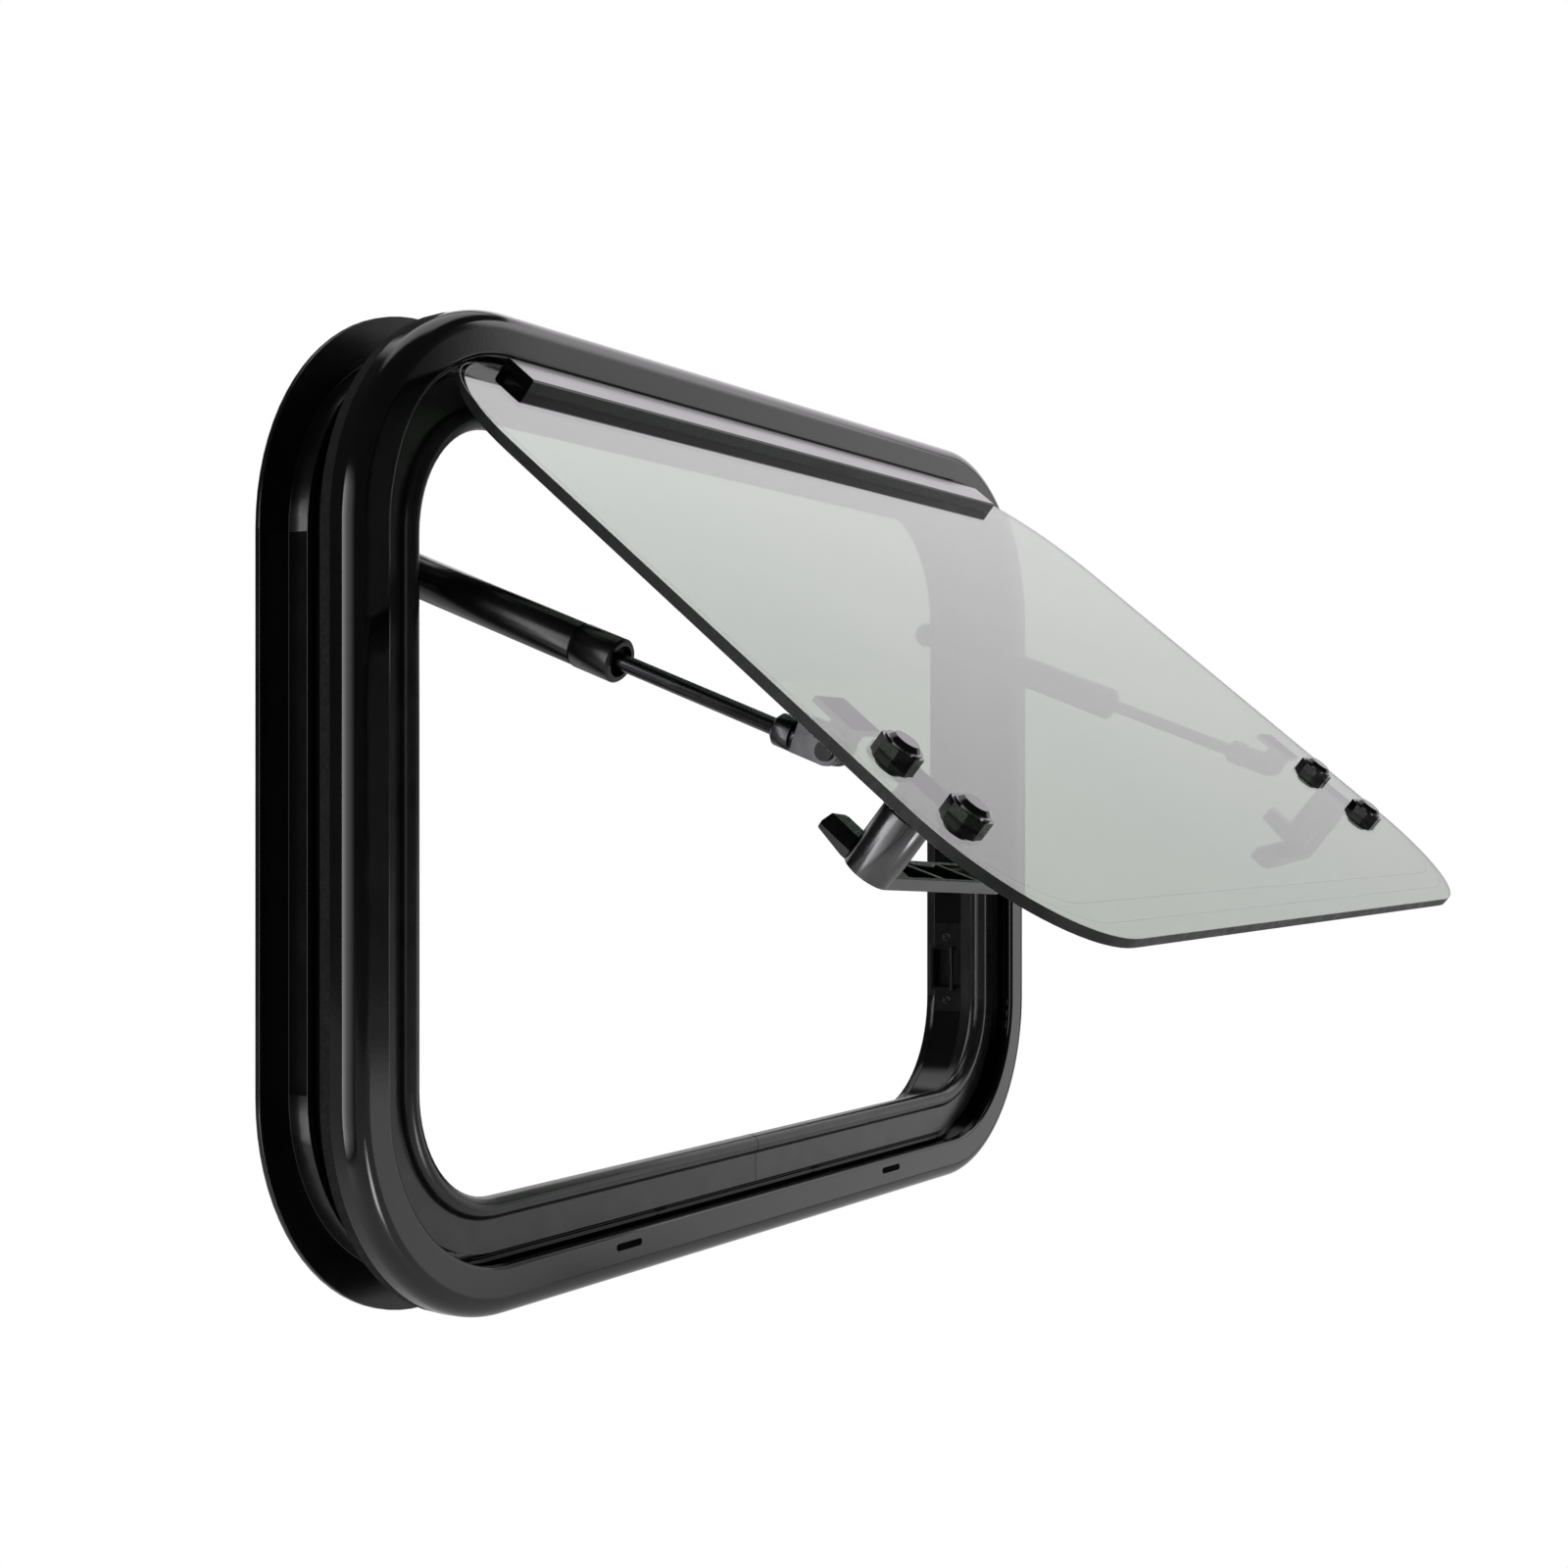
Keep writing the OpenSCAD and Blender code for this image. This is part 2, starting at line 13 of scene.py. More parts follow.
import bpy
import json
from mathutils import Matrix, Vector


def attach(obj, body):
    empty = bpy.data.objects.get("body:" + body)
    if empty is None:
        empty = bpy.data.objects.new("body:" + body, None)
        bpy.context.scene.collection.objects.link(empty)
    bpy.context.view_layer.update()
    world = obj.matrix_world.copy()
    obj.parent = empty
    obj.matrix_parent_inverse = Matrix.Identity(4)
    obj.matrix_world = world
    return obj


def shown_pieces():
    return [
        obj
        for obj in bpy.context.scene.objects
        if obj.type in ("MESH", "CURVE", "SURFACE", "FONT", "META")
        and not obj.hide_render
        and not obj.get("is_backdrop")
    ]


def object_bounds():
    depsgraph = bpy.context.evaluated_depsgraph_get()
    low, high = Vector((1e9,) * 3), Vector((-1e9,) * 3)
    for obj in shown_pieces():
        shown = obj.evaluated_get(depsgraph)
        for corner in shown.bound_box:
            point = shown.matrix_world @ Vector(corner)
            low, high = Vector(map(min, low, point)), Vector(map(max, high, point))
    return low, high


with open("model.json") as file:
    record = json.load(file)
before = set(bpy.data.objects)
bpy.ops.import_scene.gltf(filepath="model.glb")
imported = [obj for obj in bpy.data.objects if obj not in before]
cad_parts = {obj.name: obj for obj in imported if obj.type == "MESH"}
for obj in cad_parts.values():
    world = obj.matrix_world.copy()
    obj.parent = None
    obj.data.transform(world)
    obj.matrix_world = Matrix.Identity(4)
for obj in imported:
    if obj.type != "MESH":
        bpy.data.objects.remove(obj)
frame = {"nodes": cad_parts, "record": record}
nodes = frame["nodes"]
cad_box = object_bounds()

# %% The rest of what the script needs
import json
import math

import bmesh
import bpy
from mathutils import Vector

MM = 0.001  # one millimetre, in metres
scene = bpy.context.scene
scene.view_settings.view_transform = "Standard"

# %% [markdown]
# ## The camera
#
# The picture was taken level, from outside and well to the left, with the
# film shifted up a little instead of the camera tilted, so the upright edges
# stay upright. The place and the lens come from solving the perspective of
# the frame's outline. A shift keeps verticals parallel, where a tilt would
# make them lean, and that is why it is used here.

# %% Camera
camera_data = bpy.data.cameras.new("camera")
camera = bpy.data.objects.new("camera", camera_data)
scene.collection.objects.link(camera)
camera.location = (-1.0138, -0.6228, 0.00145)
camera.rotation_euler = (math.radians(90), 0, math.radians(-59.59))
camera_data.sensor_width = 36
camera_data.lens = 52.44
camera_data.shift_y = 0.01656
scene.camera = camera
print("camera", tuple(round(v, 4) for v in camera.location))

# %% [markdown]
# ## The studio
#
# Gloss black shows almost nothing of itself: what one sees are the lamps in
# it. So the light is built as a photographer would, from a few large soft
# boxes. Each is a plane that glows, brightest along one edge or in its middle
# and fading outwards, because a fading edge gives a soft end to the streak
# that it draws along the moulding. The planes hide from the camera, and their
# backs are dark.

# %% Helpers for node trees
def node(tree, kind, **inputs):
    """Adds a shader node and sets its unlinked inputs by name."""
    made = tree.nodes.new(kind)
    for name, value in inputs.items():
        made.inputs[name.replace("_", " ")].default_value = value
    return made


def ramp(tree, source, stops):
    """A colour ramp over a number, from (position, grey) pairs."""
    made = tree.nodes.new("ShaderNodeValToRGB")
    steps = made.color_ramp.elements
    while len(steps) < len(stops):
        steps.new(0.5)
    for step, (place, grey) in zip(steps, stops):
        step.position = place
        step.color = (grey, grey, grey, 1)
    tree.links.new(source, made.inputs["Fac"])
    return made.outputs["Color"]


def maths(tree, operation, first, second):
    """One sum on two inputs, each of them a number or another node's output."""
    made = tree.nodes.new("ShaderNodeMath")
    made.operation = operation
    for socket, value in zip(made.inputs, (first, second)):
        if isinstance(value, float):
            socket.default_value = value
        else:
            tree.links.new(value, socket)
    return made.outputs[0]


def choose(tree, factor, at_zero, at_one):
    """Mixes two shaders: the first where factor is 0, the second where it is 1."""
    made = tree.nodes.new("ShaderNodeMixShader")
    for socket, source in zip(made.inputs, (factor, at_zero, at_one)):
        tree.links.new(source, socket)
    return made.outputs[0]


def glowing(tree, kind, strength):
    """A white glowing shader of that kind."""
    return node(tree, kind, Color=(1, 1, 1, 1), Strength=strength).outputs[0]


def show(tree, kind, shader):
    """Ends the tree: the shader goes to an output node of that kind."""
    tree.links.new(shader, tree.nodes.new(kind).inputs["Surface"])


# %% Soft boxes
def soft_box(name, centre, aim, width, height, across, upright, strength, colour=(1, 1, 1)):
    """A glowing plane at centre that faces aim.

    across and upright say how it fades, as (place, brightness) pairs from 0 to 1."""
    mesh = bpy.data.meshes.new(name)
    w, h = width / 2, height / 2
    mesh.from_pydata([(-w, -h, 0), (w, -h, 0), (w, h, 0), (-w, h, 0)], [], [(0, 1, 2, 3)])
    panel = bpy.data.objects.new(name, mesh)
    scene.collection.objects.link(panel)
    panel.location = centre
    towards = Vector(aim) - Vector(centre)
    panel.rotation_euler = towards.to_track_quat("Z", "Y").to_euler()
    material = bpy.data.materials.new(name)
    material.use_nodes = True
    tree = material.node_tree
    tree.nodes.clear()
    place = tree.nodes.new("ShaderNodeTexCoord")
    split = tree.nodes.new("ShaderNodeSeparateXYZ")
    tree.links.new(place.outputs["Generated"], split.inputs[0])
    fade = maths(tree, "MULTIPLY", ramp(tree, split.outputs["X"], across),
                 ramp(tree, split.outputs["Y"], upright))
    glow = tree.nodes.new("ShaderNodeEmission")
    glow.inputs["Color"].default_value = (*colour, 1)
    tree.links.new(maths(tree, "MULTIPLY", fade, strength), glow.inputs["Strength"])
    back = tree.nodes.new("ShaderNodeNewGeometry").outputs["Backfacing"]
    dark = glowing(tree, "ShaderNodeEmission", 0.0)
    show(tree, "ShaderNodeOutputMaterial", choose(tree, back, glow.outputs[0], dark))
    mesh.materials.append(material)
    panel.visible_camera = False
    panel.visible_shadow = False
    panel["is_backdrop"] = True
    return panel


# %% Place the lamps
even = [(0, 1), (1, 1)]
soft_ends = [(0, 0), (0.15, 1), (0.85, 1), (1, 0)]
hump = [(0, 0), (0.4, 1), (0.6, 1), (1, 0)]
boxes = [
    # the large one, up and to the right, which the tilted pane mirrors
    soft_box("box_right_high", (2.75, 0.62, 1.35), (0, -0.15, 0.05), 3.2, 2.4,
             even, [(0, 0.5), (0.2, 0.6), (0.45, 0.76), (0.8, 1)], 1.75, (1, 0.965, 1)),
    # the one in front and to the right, which the flat of the moulding mirrors
    soft_box("box_right_front", (1.925, -1.141, 0.6), (0.245, -0.057, 0.6), 0.95, 2.7,
             [(0, 1), (0.94, 1), (1, 0)],
             [(0, 0), (0.04, 0.5), (0.52, 0.5), (0.7, 1), (1, 1)], 2.1),
    # the narrow streak along the left jamb comes from this one
    soft_box("box_left", (-1.32, -0.35, 0.0), (0, -0.35, 0.0), 1.5, 1.5,
             [(0, 0), (0.3, 0.12), (0.62, 0.3), (0.88, 0.7), (0.95, 1), (1, 1)],
             soft_ends, 5.0),
    # the flat of the left jamb mirrors a spot that is dark above and lit below, by this one
    soft_box("box_right_low", (1.635, -1.59, -0.535), (-0.045, -0.506, -0.535), 0.36, 0.43,
             even, [(0, 1), (0.75, 1), (1, 0)], 1.05),
    # a small bright one, low in front, for the streak that runs round the lower corner
    soft_box("box_low_front", (-0.2, -1.05, -0.64), (-0.3, -0.02, -0.15), 0.4, 0.55,
             hump, hump, 9.0),
    # two even ones fill in from above and from behind
    soft_box("box_above", (0.6, 0.5, 2.4), (0, 0, 0), 2.6, 2.0, soft_ends, soft_ends, 1.2),
    soft_box("box_behind", (0.3, 2.6, 0.7), (0, 0, 0), 2.6, 1.8, soft_ends, soft_ends, 1.2),
]
print("soft boxes:", [b.name for b in boxes])

# %% [markdown]
# ## The white surroundings
#
# The picture's background is pure white. A lamp bright enough to make a real
# wall that white would wash out the object, so the world gives white only to
# the rays that come from the camera or through the pane. Matt surfaces get a
# dim even grey from it, and mirror-like ones almost nothing, since the black
# parts mirror a dark room round the lamps. The floor is treated in the same
# way: it is pale and takes part in the light, but the camera sees it as white.

# %% World
def seen_directly(tree):
    """1 for rays from the camera, also through glass, 0 once a ray has bounced off something."""
    path = tree.nodes.new("ShaderNodeLightPath").outputs
    straight = maths(tree, "MAXIMUM", path["Is Camera Ray"], path["Is Transmission Ray"])
    bounces = maths(tree, "ADD", path["Glossy Depth"], path["Diffuse Depth"])
    return maths(tree, "MULTIPLY", straight, maths(tree, "LESS_THAN", bounces, 0.5))


MATT_SEES, GLOSS_SEES, CAMERA_SEES = 0.4, 0.05, 1.0
world = bpy.data.worlds.new("studio")
scene.world = world
world.use_nodes = True
tree = world.node_tree
tree.nodes.clear()
dim, gloomy, white = [glowing(tree, "ShaderNodeBackground", strength)
                      for strength in (MATT_SEES, GLOSS_SEES, CAMERA_SEES)]
glossy_ray = tree.nodes.new("ShaderNodeLightPath").outputs["Is Glossy Ray"]
room = choose(tree, glossy_ray, dim, gloomy)
show(tree, "ShaderNodeOutputWorld", choose(tree, seen_directly(tree), room, white))

# %% Floor
FLOOR_REACH, FLOOR_BELOW = 6.0, 0.55
level = cad_box[0].z - FLOOR_BELOW
floor_mesh = bpy.data.meshes.new("floor")
floor_mesh.from_pydata([(x * FLOOR_REACH, y * FLOOR_REACH, level)
                        for x, y in ((-1, -1), (1, -1), (1, 1), (-1, 1))], [], [(0, 1, 2, 3)])
floor = bpy.data.objects.new("floor", floor_mesh)
scene.collection.objects.link(floor)
floor_paint = bpy.data.materials.new("pale_floor")
floor_paint.use_nodes = True
tree = floor_paint.node_tree
tree.nodes.clear()
matt = node(tree, "ShaderNodeBsdfDiffuse", Color=(0.85, 0.85, 0.85, 1)).outputs[0]
white = glowing(tree, "ShaderNodeEmission", CAMERA_SEES)
show(tree, "ShaderNodeOutputMaterial", choose(tree, seen_directly(tree), matt, white))
floor_mesh.materials.append(floor_paint)
floor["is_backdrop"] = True
print("floor at z =", round(level, 3))

# %% [markdown]
# ## Finishes
#
# Every finish starts from one Principled shader, with its even numbers typed
# on the shader's own sockets. What varies over the surface is fed from noise
# in the object's own coordinates, so it stays with the piece when it moves.
# Small helpers do this: two make a pattern, one stretches it to a range, and
# three let it shift the roughness or the colour or turn it into relief.

# %% Helpers for finishes
def finish(name, colour, roughness, **sockets):
    """A Principled material; sockets are plain numbers on the shader itself."""
    material = bpy.data.materials.new(name)
    material.use_nodes = True
    shader = material.node_tree.nodes["Principled BSDF"]
    shader.inputs["Base Color"].default_value = (*colour, 1)
    shader.inputs["Roughness"].default_value = roughness
    for key, value in sockets.items():
        shader.inputs[key.replace("_", " ")].default_value = value
    return material


def grain(material, scale, detail=2.0, stretch=(1, 1, 1)):
    """Noise in the object's own metres; scale counts its waves in one metre."""
    tree = material.node_tree
    place = tree.nodes.new("ShaderNodeTexCoord")
    size = tree.nodes.new("ShaderNodeMapping")
    size.inputs["Scale"].default_value = stretch
    noise = node(tree, "ShaderNodeTexNoise", Scale=scale, Detail=detail)
    tree.links.new(place.outputs["Object"], size.inputs["Vector"])
    tree.links.new(size.outputs["Vector"], noise.inputs["Vector"])
    return noise.outputs["Fac"]


def cells(material, scale):
    """Voronoi cells, for foam and for moulded plastic's spark-eroded grain."""
    tree = material.node_tree
    place = tree.nodes.new("ShaderNodeTexCoord")
    made = node(tree, "ShaderNodeTexVoronoi", Scale=scale)
    tree.links.new(place.outputs["Object"], made.inputs["Vector"])
    return made.outputs["Distance"]


def between(material, source, low, high, floor_at=0.3, top_at=0.7):
    """Stretches a 0..1 pattern to the range low..high."""
    made = node(material.node_tree, "ShaderNodeMapRange",
                From_Min=floor_at, From_Max=top_at, To_Min=low, To_Max=high)
    material.node_tree.links.new(source, made.inputs["Value"])
    return made.outputs["Result"]


def feed(material, output, socket):
    """Links an output to one of the material's main sockets."""
    tree = material.node_tree
    tree.links.new(output, tree.nodes["Principled BSDF"].inputs[socket])


def vary_roughness(material, source, low, high):
    """Shifts the roughness between two values with a pattern."""
    feed(material, between(material, source, low, high), "Roughness")


def vary_colour(material, source, dark, light):
    """Shifts the base colour between two tones with a pattern."""
    tree = material.node_tree
    mix = tree.nodes.new("ShaderNodeMix")
    mix.data_type = "RGBA"
    mix.inputs["A"].default_value = (*dark, 1)
    mix.inputs["B"].default_value = (*light, 1)
    tree.links.new(between(material, source, 0, 1), mix.inputs["Factor"])
    feed(material, mix.outputs["Result"], "Base Color")


def relief(material, source, height, strength=1.0):
    """A pattern as bumps of that height in metres."""
    tree = material.node_tree
    bump = node(tree, "ShaderNodeBump", Strength=strength, Distance=height)
    tree.links.new(source, bump.inputs["Height"])
    feed(material, bump.outputs["Normal"], "Normal")


# %% [markdown]
# ### Gloss powder coat
#
# The frame and the hinge rail are aluminium extrusions with a black gloss
# powder coat. Such a coat melts into a film that is smooth but not flat: it
# has a faint orange peel of about a millimetre and a half, which bends the
# edges of a reflection very slightly, and its gloss drifts a little along the
# bar. A coat layer over a black base would do it too, but one dielectric
# surface is what the real film is, and it exports without loss.

# %% Gloss coat
gloss_coat = finish("gloss_powder_coat", (0.0018, 0.0018, 0.002), 0.1, IOR=1.52)
vary_colour(gloss_coat, grain(gloss_coat, 30), (0.0012, 0.0012, 0.0014), (0.0024, 0.0024, 0.0027))
vary_roughness(gloss_coat, grain(gloss_coat, 14, 3), 0.085, 0.13)
relief(gloss_coat, grain(gloss_coat, 650, 1), 0.000012, 0.6)

# %% [markdown]
# ### Satin coat
#
# The clamp ring and the stays' tubes have a duller coat. The fine texture of
# a satin powder is a tenth of a millimetre, so it is felt as a wide, weak
# highlight and shows as grain only from close by.

# %% Satin coat
satin_coat = finish("satin_powder_coat", (0.0022, 0.0022, 0.0024), 0.24, IOR=1.48)
vary_colour(satin_coat, grain(satin_coat, 60), (0.0015, 0.0015, 0.0017), (0.003, 0.003, 0.0032))
vary_roughness(satin_coat, grain(satin_coat, 45, 3), 0.19, 0.28)
relief(satin_coat, grain(satin_coat, 5200, 1), 0.000012, 0.5)

# %% [markdown]
# ### Rubber and foam
#
# The seal is extruded grey rubber: fine lines run along it from the die, and
# it carries a thin bloom that makes its roughness patchy. The gasket is
# closed-cell foam, whose cut edge shows its cells.

# %% Rubber and foam
rubber = finish("grey_seal_rubber", (0.009, 0.0095, 0.009), 0.25, IOR=1.5)
vary_colour(rubber, grain(rubber, 55, 4), (0.006, 0.0066, 0.0062), (0.013, 0.0138, 0.0132))
vary_roughness(rubber, grain(rubber, 90, 3), 0.19, 0.25)
relief(rubber, grain(rubber, 2400, 2), 0.00002, 0.5)

foam = finish("gasket_foam", (0.005, 0.005, 0.005), 0.9, IOR=1.3)
vary_colour(foam, grain(foam, 700, 2), (0.003, 0.003, 0.003), (0.009, 0.009, 0.009))
vary_roughness(foam, grain(foam, 200), 0.8, 0.95)
relief(foam, cells(foam, 1500), 0.0002, 0.8)

# %% [markdown]
# ### Moulded plastics
#
# The fittings are black plastic. The dull ones come from a spark-eroded
# mould, which leaves a fine leathery grain. The bolts' washers and caps come
# from a polished one, and are nearly as glossy as the paint.

# %% Plastics
dull_plastic = finish("black_moulded_plastic", (0.003, 0.003, 0.0033), 0.2, IOR=1.32)
vary_colour(dull_plastic, grain(dull_plastic, 160), (0.002, 0.002, 0.0022), (0.0045, 0.0045, 0.005))
vary_roughness(dull_plastic, grain(dull_plastic, 120, 3), 0.16, 0.25)
relief(dull_plastic, cells(dull_plastic, 3800), 0.00003, 0.5)

gloss_plastic = finish("black_gloss_plastic", (0.002, 0.002, 0.002), 0.14, IOR=1.5)
vary_colour(gloss_plastic, grain(gloss_plastic, 200),
            (0.0012, 0.0012, 0.0012), (0.003, 0.003, 0.003))
vary_roughness(gloss_plastic, grain(gloss_plastic, 260, 3), 0.1, 0.2)
relief(gloss_plastic, grain(gloss_plastic, 1800, 1), 0.000004, 0.4)

# %% [markdown]
# ### Metals
#
# The rods are steel with a thin dark finish, drawn lengthwise, so their fine
# lines run along the rod. The latch's barrel and grip are a die casting with
# a dark satin finish: a metal with wide soft highlights and a slight cloud.

# %% Metals
dark_steel = finish("dark_drawn_steel", (0.06, 0.06, 0.064), 0.26, Metallic=1.0)
vary_colour(dark_steel, grain(dark_steel, 90, 3), (0.045, 0.045, 0.048), (0.085, 0.085, 0.09))
vary_roughness(dark_steel, grain(dark_steel, 900, 3, (1, 0.08, 0.08)), 0.2, 0.34)
relief(dark_steel, grain(dark_steel, 4000, 2, (1, 0.05, 0.05)), 0.000008, 0.4)

satin_metal = finish("dark_satin_casting", (0.12, 0.12, 0.124), 0.22, Metallic=1.0)
vary_colour(satin_metal, grain(satin_metal, 70, 3), (0.11, 0.11, 0.114), (0.13, 0.13, 0.134))
vary_roughness(satin_metal, grain(satin_metal, 240, 3), 0.19, 0.25)
relief(satin_metal, grain(satin_metal, 5200, 1), 0.000005, 0.3)

# %% [markdown]
# ### Tinted acrylic
#
# The pane is cast acrylic with a grey-green tint. At this slant it lets only
# about a tenth of the light through, and most of what one sees in it is the
# large soft box, mirrored in its polished outer face. The tint goes in the
# base colour of a fully transmitting shader, which dyes the light on its way
# in and again on its way out. Real sheets are never quite flat, so a very
# wide, very low relief makes the reflection drift.

# %% Acrylic
acrylic = finish("tinted_acrylic", (0.19, 0.24, 0.19), 0.0, IOR=1.49, Transmission_Weight=1.0)
vary_colour(acrylic, grain(acrylic, 6), (0.18, 0.235, 0.18), (0.2, 0.255, 0.2))
vary_roughness(acrylic, grain(acrylic, 25, 3), 0.0, 0.003)
relief(acrylic, grain(acrylic, 9, 1), 0.0001, 0.2)

# %% [markdown]
# ## Dressing the solids
#
# Each solid keeps its mesh and gets the finish of its material slot. The
# fittings, the clamp ring and the rail also get a modifier that rounds their
# sharp edges by a few tenths of a millimetre. No moulded or painted edge is
# truly sharp, and it is these roundings that draw the thin bright lines by
# which one reads a black object. The pane gets none, because even a hairline
# rounding would bend what is seen through it.

# %% Finishes on the solids
slots = {
    "black_gloss_paint": gloss_coat, "black_satin_paint": satin_coat, "foam": foam,
    "grey_rubber": rubber, "black_plastic": dull_plastic, "tinted_pane": acrylic,
    "bolt_black": gloss_plastic, "dark_steel": dark_steel, "grey_satin_metal": satin_metal,
}
for part in frame["record"]["subparts"]:
    mesh = nodes[part["node"]].data
    mesh.materials.clear()
    mesh.materials.append(slots[part["material_slot"]])
print("finishes:", len(slots))

# %% Rounded edges
def round_edges(name, width, segments=2, angle=40):
    """Rounds a solid's sharp edges without touching its own mesh."""
    solid = nodes[name]
    weld = solid.modifiers.new("weld", "WELD")
    weld.merge_threshold = 0.000002
    bevel = solid.modifiers.new("round", "BEVEL")
    bevel.width = width
    bevel.segments = segments
    bevel.limit_method = "ANGLE"
    bevel.angle_limit = math.radians(angle)
    bevel.harden_normals = True
    bevel.use_clamp_overlap = True


pairs = {"latch_bolts": 0.4, "latch_base": 0.5, "latch_handle": 0.35, "latch_tongue": 0.4,
         "stay_foot": 0.3, "stay_rod": 0.25, "stay_tube": 0.2, "stay_bracket": 0.5,
         "keeper": 0.2}
rounding = {f"{side}_{piece}": width
            for piece, width in pairs.items() for side in ("left", "right")}
rounding |= {"clamp_ring": 0.35, "hinge_rail": 0.3}
for name, width in rounding.items():
    round_edges(name, width * MM)
print("rounded:", len(rounding))

# %% [markdown]
# ## The moulding's face
#
# The extrusion's show face is flat, with a large rounding outside and a small
# one at its lip. In the solids it is slightly crowned, and on gloss black
# even that shows: the streak spreads. So the face is drawn once more, as a
# thin skin on the solid. Along the top it stops short of the lip, so that the
# rail clears it when the pane is fully open.
#
# It is swept: a list of (distance from the outer edge, height) pairs is
# carried along the window's outline, straight on the sides and turning about
# each corner's centre. That is how an extrusion is bent in the factory, too.

# %% The outline and the sweep
WIDTH, HEIGHT, CORNER = 640 * MM, 436 * MM, 102 * MM
GASKET = 5.5 * MM


def add_mesh(name, points, faces, body, material, smooth=35):
    """Makes a mesh piece, smooth but for edges sharper than that, riding on a body."""
    mesh = bpy.data.meshes.new(name)
    mesh.from_pydata(points, [], faces)
    mesh.validate()
    work = bmesh.new()
    work.from_mesh(mesh)
    bmesh.ops.recalc_face_normals(work, faces=work.faces)
    work.to_mesh(mesh)
    work.free()
    mesh.shade_smooth()
    mesh.set_sharp_from_angle(angle=math.radians(smooth))
    mesh.materials.append(material)
    piece = bpy.data.objects.new(name, mesh)
    scene.collection.objects.link(piece)
    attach(piece, body)
    return piece


def stations(turns=40):
    """Corner centre and direction for each station round the window."""
    w, h = WIDTH / 2 - CORNER, HEIGHT / 2 - CORNER
    for corner, (x, z) in enumerate([(w, h), (-w, h), (-w, -h), (w, -h)]):
        for k in range(turns + 1):
            angle = math.radians(90 * (corner + k / turns))
            yield x, z, math.cos(angle), math.sin(angle)


def sweep_round(name, profile_at, body, material):
    """Carries a closed profile round the window.

    profile_at(upward) gives the profile's points where the outline faces that far up,
    as (in from the outer edge, out from the flange's back)."""
    rings = list(stations())
    points = [(x + (CORNER - q) * c, -(p + GASKET), z + (CORNER - q) * s)
              for x, z, c, s in rings for q, p in profile_at(s)]
    count = len(points) // len(rings)
    faces = []
    for i in range(len(rings)):
        j = (i + 1) % len(rings)
        for k in range(count):
            n = (k + 1) % count
            faces.append((i * count + k, i * count + n, j * count + n, j * count + k))
    return add_mesh(name, points, faces, body, material)


def arc(centre, radius, start, end, steps):
    """Points on an arc in profile coordinates, angles in degrees."""
    angles = [math.radians(start + (end - start) * k / steps) for k in range(steps + 1)]
    return [(centre[0] + radius * math.cos(a), centre[1] + radius * math.sin(a)) for a in angles]


# %% The face
RISE, SIDE = 13.5 * MM, 5 * MM        # the face's height, and where its outer rounding starts
OUTER_R, LIP_R = RISE - SIDE, 1.8 * MM
LIP, RAIL_ROOM = 22 * MM, 1.7 * MM    # how far in it reaches, and how much less along the top
LIP_FOOT, LIP_WALL = 8.3 * MM, 1.5 * MM
SKIN = 0.02 * MM                      # how far it stands proud of the solid
INSIDE = [(OUTER_R, 12.5 * MM), (2.5 * MM, 9 * MM), (1 * MM, SIDE), (1 * MM, 0.0)]


def face_profile(upward):
    """The skin's section; upward is 1 along the top, 0 at the sides, -1 along the bottom."""
    lip = LIP - RAIL_ROOM * min(max((upward - 0.3) / 0.5, 0), 1)
    section = [(-SKIN, 0.0), (-SKIN, SIDE)]
    section += arc((OUTER_R, SIDE), OUTER_R + SKIN, 180, 90, 18)[1:]
    section += [(OUTER_R + 0.4 * MM, RISE + SKIN), (lip - LIP_R - 0.3 * MM, RISE + SKIN)]
    section += arc((lip - LIP_R, RISE - LIP_R), LIP_R + SKIN, 90, 0, 10)
    section += [(lip + SKIN, LIP_FOOT), (lip - LIP_WALL, LIP_FOOT), (lip - LIP_WALL, 10.5 * MM)]
    return section + INSIDE


face = sweep_round("moulding_face", face_profile, "frame", gloss_coat)
print("moulding face:", len(face.data.polygons), "faces")

# %% [markdown]
# ## The drain slots
#
# Two slots in the bottom of the face let rain water out. What one sees of a
# slot this narrow is only its shadow, so each is a dark plug with round ends,
# a twentieth of a millimetre proud of the face.

# %% Drain slots
def stadium(length, width):
    """The outline of a slot with round ends, centred on its middle."""
    right = arc(((length - width) / 2, 0), width / 2, -90, 90, 10)
    return right + [(-x, -y) for x, y in right]


def prism(name, outline, centre, near, far, body, material):
    """An outline in X and Z, drawn out from depth near to depth far."""
    count = len(outline)
    points = [(centre[0] + x, y, centre[1] + z) for y in (near, far) for x, z in outline]
    faces = [tuple(range(count)), tuple(range(2 * count - 1, count - 1, -1))]
    faces += [(k, (k + 1) % count, count + (k + 1) % count, count + k) for k in range(count)]
    return add_mesh(name, points, faces, body, material)


# Painted shade: a near-black matt finish for the plugs that stand for the slots' shadow.
slot_shade_paint = finish("slot_shadow", (0.0008, 0.0008, 0.0008), 0.85, IOR=1.12)
vary_roughness(slot_shade_paint, grain(slot_shade_paint, 900), 0.8, 0.9)
SLOT_L, SLOT_W, SLOT_IN = 21 * MM, 3.4 * MM, 15.9 * MM
SLOT_TOP, SLOT_END = RISE + SKIN + 0.05 * MM, 12.9 * MM
slots_at = {"left_drain_slot": -128 * MM, "right_drain_slot": 135 * MM}
for name, x in slots_at.items():
    prism(name, stadium(SLOT_L, SLOT_W), (x, SLOT_IN - HEIGHT / 2),
          -(GASKET + SLOT_TOP), -(GASKET + SLOT_END), "frame", slot_shade_paint)
print("drain slots:", len(slots_at))

